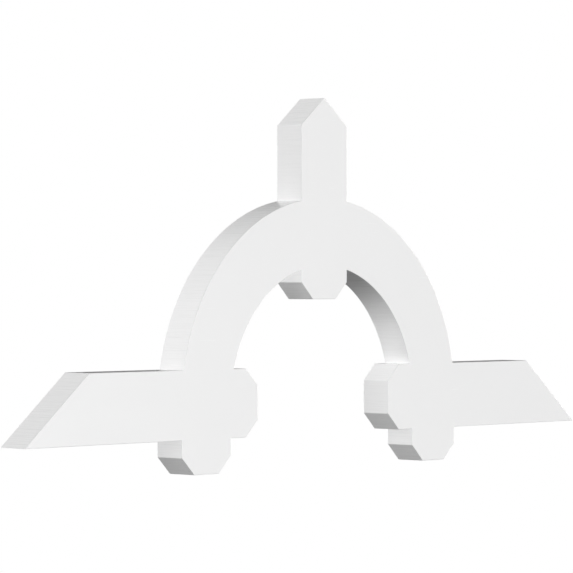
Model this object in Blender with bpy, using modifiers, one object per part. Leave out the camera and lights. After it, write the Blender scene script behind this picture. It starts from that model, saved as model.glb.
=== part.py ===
"""Gable bracket, a flat ornament that is fixed to the wall under a roof's peak.

A round arch on two straight legs carries a pointed king post, and a tie runs out from each leg to the
roof line. The members lie flush on both faces and are one solid piece of white cellular PVC.

The units are metres. X runs along the ties, Z is up, and the wall is at y = 0 with the front towards -Y.
The origin is on the back face, where the arch's centre line crosses the king post's centre line.
"""

import math

import bmesh
import bpy

# Driving dimensions
SPAN = 1.2192  # 48 in, along the ties' undersides, from tip to tip before the edges are eased
ROOF_RISE = 10.0  # the roof line's rise for each 12 of run
ROOF_RUN = 12.0
THICKNESS = 0.0508  # 2 in, front face to back face
TIE_HEIGHT = 0.1016  # 4 in
POST_WIDTH = 0.1016  # 4 in
ARCH_WIDTH = 0.1016  # 4 in, the band of the arch and both of its legs
ARCH_OUTER_RADIUS = 0.3048  # 12 in
LEG_DROP = 0.0508  # 2 in, how far the legs hang below the ties
POST_DROP = 0.0508  # 2 in, how far the post hangs below the inside of the arch's crown
TIE_STUB = 0.05715  # 2 1/4 in, how far the ties pass the inner sides of the legs
END_CUT = 0.0254  # 1 in, the 45 degree cut across both corners of each free end
EASED_EDGE = 0.0008  # how far the small rounding of every sharp edge reaches into its faces
EASED_EDGE_FACETS = 3
ARC_STEP = math.radians(1.5)  # the most that one facet of the arch turns

# Colour and surface of the finished piece
WHITE = (0.87, 0.87, 0.87, 1.0)
ROUGHNESS = 0.45

SHARP_ANGLE = math.radians(30)
FLAT_ANGLE = math.radians(0.5)
WELD_DISTANCE = 0.00001

# Heights and places that follow from the driving dimensions
ARCH_INNER_RADIUS = ARCH_OUTER_RADIUS - ARCH_WIDTH
ARCH_CENTRE_Z = -(ARCH_INNER_RADIUS + ARCH_WIDTH / 2)
TIE_BOTTOM_Z = ARCH_CENTRE_Z - TIE_HEIGHT / 2
TIE_TOP_Z = ARCH_CENTRE_Z + TIE_HEIGHT / 2
LEG_BOTTOM_Z = TIE_BOTTOM_Z - LEG_DROP
POST_BOTTOM_Z = ARCH_CENTRE_Z + ARCH_INNER_RADIUS - POST_DROP


def roof_line_z(x):
    """Height of the roof line, which runs through the ties' tips and the top of the post."""
    return TIE_BOTTOM_Z + (SPAN / 2 - abs(x)) * ROOF_RISE / ROOF_RUN


def roof_line_x(z):
    """Where the roof line passes the height z on the right side."""
    return SPAN / 2 - (z - TIE_BOTTOM_Z) * ROOF_RUN / ROOF_RISE


def half_circle(radius):
    """Points of the arch's upper half circle, from its right springing to its left one."""
    facets = math.ceil(math.pi / ARC_STEP)
    turns = [math.pi * i / facets for i in range(facets + 1)]
    return [(radius * math.cos(turn), ARCH_CENTRE_Z + radius * math.sin(turn)) for turn in turns]


def mirrored(outline):
    """The same outline on the other side of the symmetry plane, still turning the same way."""
    return [(-x, z) for x, z in reversed(outline)]


def arch_outline():
    """The half ring on its two legs, each leg with both lower corners cut."""
    right_foot = [
        (ARCH_INNER_RADIUS, LEG_BOTTOM_Z + END_CUT),
        (ARCH_INNER_RADIUS + END_CUT, LEG_BOTTOM_Z),
        (ARCH_OUTER_RADIUS - END_CUT, LEG_BOTTOM_Z),
        (ARCH_OUTER_RADIUS, LEG_BOTTOM_Z + END_CUT),
    ]
    outside = half_circle(ARCH_OUTER_RADIUS)
    inside = half_circle(ARCH_INNER_RADIUS)
    return right_foot + outside + mirrored(right_foot) + inside[::-1]


def post_outline():
    """The king post, pointed along the roof line above and with both corners cut below."""
    side = POST_WIDTH / 2
    right_half = [
        (side - END_CUT, POST_BOTTOM_Z),
        (side, POST_BOTTOM_Z + END_CUT),
        (side, roof_line_z(side)),
    ]
    return right_half + [(0.0, roof_line_z(0.0))] + mirrored(right_half)


def right_tie_outline():
    """A tie, mitred along the roof line outside and with both corners cut inside the arch."""
    inner_end = ARCH_INNER_RADIUS - TIE_STUB
    return [
        (inner_end + END_CUT, TIE_BOTTOM_Z),
        (SPAN / 2, TIE_BOTTOM_Z),
        (roof_line_x(TIE_TOP_Z), TIE_TOP_Z),
        (inner_end + END_CUT, TIE_TOP_Z),
        (inner_end, TIE_TOP_Z - END_CUT),
        (inner_end, TIE_BOTTOM_Z + END_CUT),
    ]


def slab(name, outline, collection):
    """A mesh object of the member's outline, drawn in X and Z, at the bracket's full thickness."""
    curve = bpy.data.curves.new(name + "_outline", "CURVE")
    curve.dimensions = "2D"
    curve.fill_mode = "BOTH"
    curve.extrude = THICKNESS / 2
    spline = curve.splines.new("POLY")
    spline.points.add(len(outline) - 1)
    for point, (x, z) in zip(spline.points, outline):
        point.co = (x, z, 0.0, 1.0)
    spline.use_cyclic_u = True

    drawing = bpy.data.objects.new(name + "_outline", curve)
    drawing.location = (0.0, -THICKNESS / 2, 0.0)
    drawing.rotation_euler = (math.radians(90), 0.0, 0.0)
    collection.objects.link(drawing)
    bpy.context.view_layer.update()

    evaluated = drawing.evaluated_get(bpy.context.evaluated_depsgraph_get())
    mesh = bpy.data.meshes.new_from_object(evaluated)
    mesh.name = name
    weld_caps(mesh)
    piece = bpy.data.objects.new(name, mesh)
    piece.matrix_world = drawing.matrix_world
    collection.objects.link(piece)
    bpy.data.objects.remove(drawing)
    return piece


def weld_caps(mesh):
    """Joins a filled curve's loose caps to its walls and makes each cap a single face."""
    shape = bmesh.new()
    shape.from_mesh(mesh)
    bmesh.ops.remove_doubles(shape, verts=shape.verts, dist=WELD_DISTANCE)
    bmesh.ops.dissolve_limit(shape, angle_limit=FLAT_ANGLE, verts=shape.verts, edges=shape.edges)
    bmesh.ops.recalc_face_normals(shape, faces=shape.faces)
    shape.to_mesh(mesh)
    shape.free()


def join_member(piece, member):
    """Fuses a member into the piece, and leaves the member as a hidden guide."""
    union = piece.modifiers.new(member.name, "BOOLEAN")
    union.operation = "UNION"
    union.solver = "EXACT"
    union.object = member
    member.hide_render = True
    member.display_type = "WIRE"


def finish_edges(piece):
    """Clears the lines that the joins leave on the two faces, then eases every sharp edge."""
    flatten = piece.modifiers.new("One face to each side", "DECIMATE")
    flatten.decimate_type = "DISSOLVE"
    flatten.angle_limit = FLAT_ANGLE
    ease = piece.modifiers.new("Eased edges", "BEVEL")
    ease.width = EASED_EDGE
    ease.segments = EASED_EDGE_FACETS
    ease.limit_method = "ANGLE"
    ease.angle_limit = SHARP_ANGLE
    piece.data.shade_smooth()
    piece.data.set_sharp_from_angle(angle=SHARP_ANGLE)


def white_pvc():
    """Satin white cellular PVC."""
    material = bpy.data.materials.new("white_pvc")
    material.use_nodes = True
    shader = material.node_tree.nodes["Principled BSDF"]
    shader.inputs["Base Color"].default_value = WHITE
    shader.inputs["Roughness"].default_value = ROUGHNESS
    shader.inputs["Metallic"].default_value = 0.0
    return material


def new_collection(name):
    collection = bpy.data.collections.new(name)
    bpy.context.scene.collection.children.link(collection)
    return collection


def main():
    for old in list(bpy.data.objects):
        bpy.data.objects.remove(old)
    parts = new_collection("Gable bracket")
    guides = new_collection("Joined members")

    bracket = slab("gable_bracket", arch_outline(), parts)
    join_member(bracket, slab("king_post", post_outline(), guides))
    join_member(bracket, slab("right_tie", right_tie_outline(), guides))
    join_member(bracket, slab("left_tie", mirrored(right_tie_outline()), guides))
    finish_edges(bracket)
    bracket.data.materials.append(white_pvc())


main()
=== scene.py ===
"""The gable bracket's looks: its finished surface in satin white cellular PVC, a pale floor, soft studio
light and the photograph's viewpoint.

The units are metres, in the frame's coordinates. X runs along the ties, Z is up, the wall is at y = 0 with
the front towards -Y, and the origin is where the arch's centre line crosses the king post's.
"""

import math

import bmesh
import bpy
from mathutils import Matrix, Vector


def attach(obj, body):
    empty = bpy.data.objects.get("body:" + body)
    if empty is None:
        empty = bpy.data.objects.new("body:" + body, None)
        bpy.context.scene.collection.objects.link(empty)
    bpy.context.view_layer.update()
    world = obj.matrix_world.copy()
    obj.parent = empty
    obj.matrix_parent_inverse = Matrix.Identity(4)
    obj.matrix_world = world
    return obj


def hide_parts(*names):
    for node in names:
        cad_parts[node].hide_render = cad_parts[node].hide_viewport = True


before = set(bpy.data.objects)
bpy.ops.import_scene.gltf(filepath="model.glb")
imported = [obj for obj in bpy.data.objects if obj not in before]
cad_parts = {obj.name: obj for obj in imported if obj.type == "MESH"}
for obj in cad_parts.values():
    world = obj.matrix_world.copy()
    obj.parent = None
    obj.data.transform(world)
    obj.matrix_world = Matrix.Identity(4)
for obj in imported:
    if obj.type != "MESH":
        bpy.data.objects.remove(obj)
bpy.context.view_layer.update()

# The bracket's sizes, the same as the frame's solid has
SPAN = 1.2192
ROOF_SLOPE = 10.0 / 12.0
THICKNESS = 0.0508
TIE_HEIGHT = 0.1016
POST_WIDTH = 0.1016
ARCH_OUTER_RADIUS = 0.3048
ARCH_INNER_RADIUS = 0.2032
LEG_DROP = 0.0508
POST_DROP = 0.0508
TIE_STUB = 0.05715
END_CUT = 0.0254
EASED_EDGE = 0.0008
EASED_EDGE_FACETS = 3

# How the mesh is made
ARC_STEP = math.radians(0.5)  # the most that one facet of the arch turns
SHARP_ANGLE = math.radians(30)  # the edges that are eased turn by more than this
MERGE_DISTANCE = 0.00001
LARGE_FACE_WEIGHT = 100  # the most that a large face can count in the shading, so that flats look flat

# Heights that follow from the sizes
ARCH_CENTRE_Z = -(ARCH_OUTER_RADIUS + ARCH_INNER_RADIUS) / 2
TIE_BOTTOM_Z = ARCH_CENTRE_Z - TIE_HEIGHT / 2
TIE_TOP_Z = ARCH_CENTRE_Z + TIE_HEIGHT / 2
LEG_BOTTOM_Z = TIE_BOTTOM_Z - LEG_DROP
POST_BOTTOM_Z = ARCH_CENTRE_Z + ARCH_INNER_RADIUS - POST_DROP

# The photograph's viewpoint
CAMERA_TURN = math.radians(46.93)  # from straight in front towards the bracket's left
CAMERA_DISTANCE = 4.749
CAMERA_TILT = math.radians(-0.087)  # above level
LENS_MM = 197.16
SENSOR_MM = 36.0
AIM_ALONG_VIEW_RIGHT = -0.0574
AIM_Z = -0.0825

# The floor, which glows evenly instead of being lit
FLOOR_Z = -4.5
FLOOR_RADIUS = 40.0
FLOOR_SIDES = 96
FLOOR_FADE_START = 15.0  # how far out it begins to fade
FLOOR_GREY = 0.54

SOFT = 25.7  # how many degrees wide most of the lights look

# The studio's soft lights: where each stands, in degrees from straight in front towards +X and in degrees
# above the horizon, its strength, how many degrees wide it looks, and whether the bracket casts shadows in it
LIGHTS = {
    "front": (20, -3, 3.13, SOFT, True),
    "front_right": (30, 3, 0.05, SOFT, True),
    "left": (-112, 24, 2.23, 12.0, False),
    "left_by_front": (-78, 10, 0.589, SOFT, True),
    "low_behind_left": (-150, -35, 0.267, SOFT, True),
    "below_behind": (-165, -50, 0.122, SOFT, True),
    "high_behind_left": (-160, 25, 0.317, SOFT, True),
    "higher_behind_left": (-160, 45, 0.081, SOFT, True),
    "high_behind": (180, 45, 0.118, SOFT, True),
    "high_behind_right": (150, 35, 0.048, SOFT, True),
    "right": (95, 5, 1.0, SOFT, True),
    "behind": (180, -5, 1.35, 42.0, True),
}
ROOM_LIGHT = 0.0  # what falls on the bracket from the room besides the lights

# The backdrop, plain white behind the bracket in the photograph's view and pale grey further round
BACKDROP = 1.0
BACKDROP_ASIDE = 0.62
BACKDROP_WHITE_REACH = math.radians(12)  # how far round it stays white
BACKDROP_FADE_REACH = math.radians(50)  # how far round it has become grey

# The white PVC. Sheet skin is on the front and the back, and routed cuts are on every edge
WHITE = (0.86, 0.88)
WHITE_SCALE = 9.0  # patches of slightly different white for each metre
WHITE_DETAIL = 3.0
CELL_PAINTED_SHADE = 0.03  # painted shade in the foam cells that a cut opens: how much darker their hollows are coloured
SKIN_ROUGHNESS = (0.23, 0.29)
CUT_ROUGHNESS = (0.24, 0.32)
EDGE_ROUGHNESS = 0.36  # of the sanded edges between the two
PEEL_SCALE = 300.0  # dimples of the sheet's skin for each metre
DRAW_LINE_SCALE = (14.0, 1.0, 900.0)  # lines that run along the sheet
SKIN_DETAIL = 2.0  # of the dimples and the draw lines
TOOL_MARK_SCALE = (2600.0, 9.0, 2600.0)  # marks that run through the thickness, as the cutter stood
TOOL_MARK_DETAIL = 3.0
CELL_SCALE = 2400.0  # foam cells for each metre
SKIN_RELIEF = 0.0001
CUT_RELIEF = 0.000006
DRAW_LINE_SHARE = 0.4  # of the skin's relief, and the rest is its dimples
CELL_SHARE = 0.2  # of a cut's relief, and the rest is the tool's marks

# How squarely a face looks to the front or the back, from 0 to 1, tells skin from cut: it is all cut up to
# the first of these and all skin from the second. An edge between them is fully sanded where that value,
# times what it lacks of 1, reaches the peak
SKIN_FACING = (0.75, 0.97)
EDGE_PEAK = 0.15


def roof_line_z(x):
    """Height of the roof line, which runs through the ties' tips and the top of the post."""
    return TIE_BOTTOM_Z + (SPAN / 2 - x) * ROOF_SLOPE


def arc(radius, start, end):
    """Points on a circle about the arch's centre. Angles are from +X towards +Z."""
    steps = math.ceil(abs(end - start) / ARC_STEP)
    turns = [start + (end - start) * i / steps for i in range(steps + 1)]
    return [(radius * math.cos(turn), ARCH_CENTRE_Z + radius * math.sin(turn)) for turn in turns]


def right_outline():
    """The bracket's right half, from the peak down the outside and back up inside to the post's foot."""
    side = POST_WIDTH / 2
    tie_over_centre = TIE_TOP_Z - ARCH_CENTRE_Z
    inner_end = ARCH_INNER_RADIUS - TIE_STUB
    post_top = [(0.0, roof_line_z(0.0)), (side, roof_line_z(side))]
    arch_outside = arc(
        ARCH_OUTER_RADIUS,
        math.acos(side / ARCH_OUTER_RADIUS),
        math.asin(tie_over_centre / ARCH_OUTER_RADIUS),
    )
    tie_outside = [
        (SPAN / 2 - TIE_HEIGHT / ROOF_SLOPE, TIE_TOP_Z),
        (SPAN / 2, TIE_BOTTOM_Z),
        (ARCH_OUTER_RADIUS, TIE_BOTTOM_Z),
    ]
    foot = [
        (ARCH_OUTER_RADIUS, LEG_BOTTOM_Z + END_CUT),
        (ARCH_OUTER_RADIUS - END_CUT, LEG_BOTTOM_Z),
        (ARCH_INNER_RADIUS + END_CUT, LEG_BOTTOM_Z),
        (ARCH_INNER_RADIUS, LEG_BOTTOM_Z + END_CUT),
    ]
    tie_inside = [
        (ARCH_INNER_RADIUS, TIE_BOTTOM_Z),
        (inner_end + END_CUT, TIE_BOTTOM_Z),
        (inner_end, TIE_BOTTOM_Z + END_CUT),
        (inner_end, TIE_TOP_Z - END_CUT),
        (inner_end + END_CUT, TIE_TOP_Z),
    ]
    arch_inside = arc(
        ARCH_INNER_RADIUS,
        math.asin(tie_over_centre / ARCH_INNER_RADIUS),
        math.acos(side / ARCH_INNER_RADIUS),
    )
    post_foot = [
        (side, POST_BOTTOM_Z + END_CUT),
        (side - END_CUT, POST_BOTTOM_Z),
        (0.0, POST_BOTTOM_Z),
    ]
    return post_top + arch_outside + tie_outside + foot + tie_inside + arch_inside + post_foot


def half_slab(outline):
    """A mesh of the outline's front, back and edge, open where it meets the symmetry plane."""
    shape = bmesh.new()
    front = [shape.verts.new((x, -THICKNESS, z)) for x, z in outline]
    back = [shape.verts.new((x, 0.0, z)) for x, z in outline]
    shape.faces.new(front[::-1])
    shape.faces.new(back)
    for i in range(len(outline) - 1):
        shape.faces.new((front[i], front[i + 1], back[i + 1], back[i]))
    mesh = bpy.data.meshes.new("bracket")
    shape.to_mesh(mesh)
    shape.free()
    mesh.shade_smooth()
    return mesh


def bracket():
    """The whole bracket, mirrored from its right half, with every sharp edge slightly rounded."""
    piece = bpy.data.objects.new("bracket", half_slab(right_outline()))
    bpy.context.scene.collection.objects.link(piece)
    mirror = piece.modifiers.new("Left half", "MIRROR")
    mirror.merge_threshold = MERGE_DISTANCE
    ease = piece.modifiers.new("Eased edges", "BEVEL")
    ease.width = EASED_EDGE
    ease.segments = EASED_EDGE_FACETS
    ease.limit_method = "ANGLE"
    ease.angle_limit = SHARP_ANGLE
    shading = piece.modifiers.new("Flats shaded flat", "WEIGHTED_NORMAL")
    shading.weight = LARGE_FACE_WEIGHT
    return piece


def node(tree, kind, inputs=None, **settings):
    """A new shader node. Its inputs, by name or place, are plain values or the outputs that feed them."""
    made = tree.nodes.new("ShaderNode" + kind)
    for name, value in settings.items():
        setattr(made, name, value)
    for name, value in (inputs or {}).items():
        if isinstance(value, bpy.types.NodeSocket):
            tree.links.new(value, made.inputs[name])
        else:
            made.inputs[name].default_value = value
    return made


def noise(tree, place, scale, detail):
    """Soft random values about 0.5. The scale, in features a metre, is one number or one for each axis."""
    if isinstance(scale, tuple):
        place = node(tree, "VectorMath", {0: place, 1: scale}, operation="MULTIPLY").outputs["Vector"]
        scale = 1.0
    return node(tree, "TexNoise", {"Vector": place, "Scale": scale, "Detail": detail}).outputs["Fac"]


def blended(tree, share, first, second):
    """From the first value to the second as the share goes from 0 to 1."""
    return node(tree, "Mix", {"Factor": share, "A": first, "B": second}).outputs["Result"]


def spread(tree, value, low, high):
    """A value from 0 to 1 stretched to run from low to high."""
    return node(tree, "MapRange", {"Value": value, "To Min": low, "To Max": high}).outputs["Result"]


def faded(tree, value, start, end, first, last):
    """From first to last with soft ends, as the value goes from start to end."""
    ranges = {"Value": value, "From Min": start, "From Max": end, "To Min": first, "To Max": last}
    return node(tree, "MapRange", ranges, interpolation_type="SMOOTHSTEP").outputs["Result"]


def white_pvc():
    """Satin white cellular PVC: smooth calendered skin front and back, finely tool-marked foam on cuts, with
    painted shade in the foam's opened cells.
    """
    material = bpy.data.materials.new("white_pvc")
    material.use_nodes = True
    tree = material.node_tree
    coordinates = node(tree, "TexCoord")
    place = coordinates.outputs["Object"]
    facing = node(tree, "SeparateXYZ", {"Vector": coordinates.outputs["Normal"]}).outputs["Y"]
    towards_wall = node(tree, "Math", {0: facing}, operation="ABSOLUTE").outputs["Value"]
    cut_facing, skin_facing = SKIN_FACING
    skin_range = {"Value": towards_wall, "From Min": cut_facing, "From Max": skin_facing}
    skin = node(tree, "MapRange", skin_range).outputs["Result"]

    white = spread(tree, noise(tree, place, WHITE_SCALE, WHITE_DETAIL), *WHITE)
    peel = noise(tree, place, PEEL_SCALE, SKIN_DETAIL)
    draw_lines = noise(tree, place, DRAW_LINE_SCALE, SKIN_DETAIL)
    tool_marks = noise(tree, place, TOOL_MARK_SCALE, TOOL_MARK_DETAIL)
    cells = node(tree, "TexVoronoi", {"Vector": place, "Scale": CELL_SCALE}).outputs["Distance"]

    # painted shade: the hollow middle of each opened foam cell is coloured darker
    painted_cell_shade = spread(tree, cells, 1.0 - CELL_PAINTED_SHADE, 1.0)
    cut_white_and_painted_shade = node(tree, "Math", {0: white, 1: painted_cell_shade}, operation="MULTIPLY").outputs["Value"]
    skin_height = spread(tree, blended(tree, DRAW_LINE_SHARE, peel, draw_lines), 0.0, SKIN_RELIEF)
    cut_height = spread(tree, blended(tree, CELL_SHARE, tool_marks, cells), 0.0, CUT_RELIEF)
    relief = node(tree, "Bump", {"Height": blended(tree, skin, cut_height, skin_height), "Distance": 1.0})

    skin_roughness = spread(tree, draw_lines, *SKIN_ROUGHNESS)
    cut_roughness = spread(tree, tool_marks, *CUT_ROUGHNESS)
    roughness = blended(tree, skin, cut_roughness, skin_roughness)
    away_from_wall = node(tree, "Math", {0: 1.0, 1: towards_wall}, operation="SUBTRACT").outputs["Value"]
    edge = node(tree, "Math", {0: towards_wall, 1: away_from_wall}, operation="MULTIPLY").outputs["Value"]
    sanded = node(tree, "MapRange", {"Value": edge, "From Max": EDGE_PEAK}).outputs["Result"]

    shader = tree.nodes["Principled BSDF"]
    tree.links.new(blended(tree, skin, cut_white_and_painted_shade, white), shader.inputs["Base Color"])
    tree.links.new(blended(tree, sanded, roughness, EDGE_ROUGHNESS), shader.inputs["Roughness"])
    tree.links.new(relief.outputs["Normal"], shader.inputs["Normal"])
    return material


def floor():
    """A plain pale floor far below, as under a gable, that fades out before the horizon."""
    shape = bmesh.new()
    bmesh.ops.create_circle(shape, cap_ends=True, segments=FLOOR_SIDES, radius=FLOOR_RADIUS)
    mesh = bpy.data.meshes.new("floor")
    shape.to_mesh(mesh)
    shape.free()
    disc = bpy.data.objects.new("floor", mesh)
    disc.location = (0.0, 0.0, FLOOR_Z)
    disc.visible_diffuse = False
    disc.visible_glossy = False
    disc.visible_shadow = False
    bpy.context.scene.collection.objects.link(disc)

    material = bpy.data.materials.new("pale_floor")
    material.use_nodes = True
    tree = material.node_tree
    place = node(tree, "TexCoord").outputs["Object"]
    distance = node(tree, "VectorMath", {0: place}, operation="LENGTH").outputs["Value"]
    shader = tree.nodes["Principled BSDF"]
    shader.inputs["Base Color"].default_value = (0.0, 0.0, 0.0, 1.0)
    shader.inputs["Specular IOR Level"].default_value = 0.0
    shader.inputs["Emission Color"].default_value = (FLOOR_GREY, FLOOR_GREY, FLOOR_GREY, 1.0)
    shader.inputs["Emission Strength"].default_value = 1.0
    tree.links.new(faded(tree, distance, FLOOR_FADE_START, FLOOR_RADIUS, 1.0, 0.0), shader.inputs["Alpha"])
    disc.data.materials.append(material)
    return disc


def surroundings():
    """A dark room with a backdrop all round that only the camera sees, so that it casts no light."""
    world = bpy.data.worlds.new("studio")
    world.use_nodes = True
    tree = world.node_tree
    direction = node(tree, "TexCoord").outputs["Generated"]
    white_way = (math.sin(CAMERA_TURN), math.cos(CAMERA_TURN), 0.0)
    towards_white = {0: direction, 1: white_way}
    nearness = node(tree, "VectorMath", towards_white, operation="DOT_PRODUCT").outputs["Value"]
    white_from = math.cos(BACKDROP_WHITE_REACH)
    grey_from = math.cos(BACKDROP_FADE_REACH)
    backdrop = faded(tree, nearness, grey_from, white_from, BACKDROP_ASIDE, BACKDROP)
    seen = node(tree, "LightPath").outputs["Is Camera Ray"]
    background = tree.nodes["Background"]
    background.inputs["Color"].default_value = (1.0, 1.0, 1.0, 1.0)
    tree.links.new(spread(tree, seen, ROOM_LIGHT, backdrop), background.inputs["Strength"])
    bpy.context.scene.world = world


def lights():
    """The studio's soft lights, far from the bracket."""
    for name, (turn, height, strength, width, shadows) in LIGHTS.items():
        lamp = bpy.data.lights.new(name, "SUN")
        lamp.angle = math.radians(width)
        lamp.energy = strength
        lamp.use_shadow = shadows
        light = bpy.data.objects.new(name, lamp)
        across = math.cos(math.radians(height))
        direction = Vector((
            math.sin(math.radians(turn)) * across,
            -math.cos(math.radians(turn)) * across,
            math.sin(math.radians(height)),
        ))
        light.rotation_euler = direction.to_track_quat("Z", "Y").to_euler()
        bpy.context.scene.collection.objects.link(light)


def camera():
    """The photograph's viewpoint, level with the arch and well to the bracket's left."""
    forward = Vector((
        math.sin(CAMERA_TURN) * math.cos(CAMERA_TILT),
        math.cos(CAMERA_TURN) * math.cos(CAMERA_TILT),
        math.sin(CAMERA_TILT),
    ))
    view_right = Vector((math.cos(CAMERA_TURN), -math.sin(CAMERA_TURN), 0.0))
    aim = view_right * AIM_ALONG_VIEW_RIGHT + Vector((0.0, -THICKNESS, AIM_Z))
    data = bpy.data.cameras.new("camera")
    data.lens = LENS_MM
    data.sensor_width = SENSOR_MM
    seen_from = bpy.data.objects.new("camera", data)
    facing = forward.to_track_quat("-Z", "Y").to_matrix().to_4x4()
    seen_from.matrix_world = Matrix.Translation(aim - forward * CAMERA_DISTANCE) @ facing
    bpy.context.scene.collection.objects.link(seen_from)
    bpy.context.scene.camera = seen_from


def main():
    """The studio with the bracket in it."""
    settings = bpy.context.scene.view_settings
    settings.view_transform = "Standard"
    settings.look = "None"
    camera()
    surroundings()
    lights()
    floor()
    piece = bracket()
    piece.data.materials.append(white_pvc())
    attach(piece, "root")
    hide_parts("gable_bracket")


main()
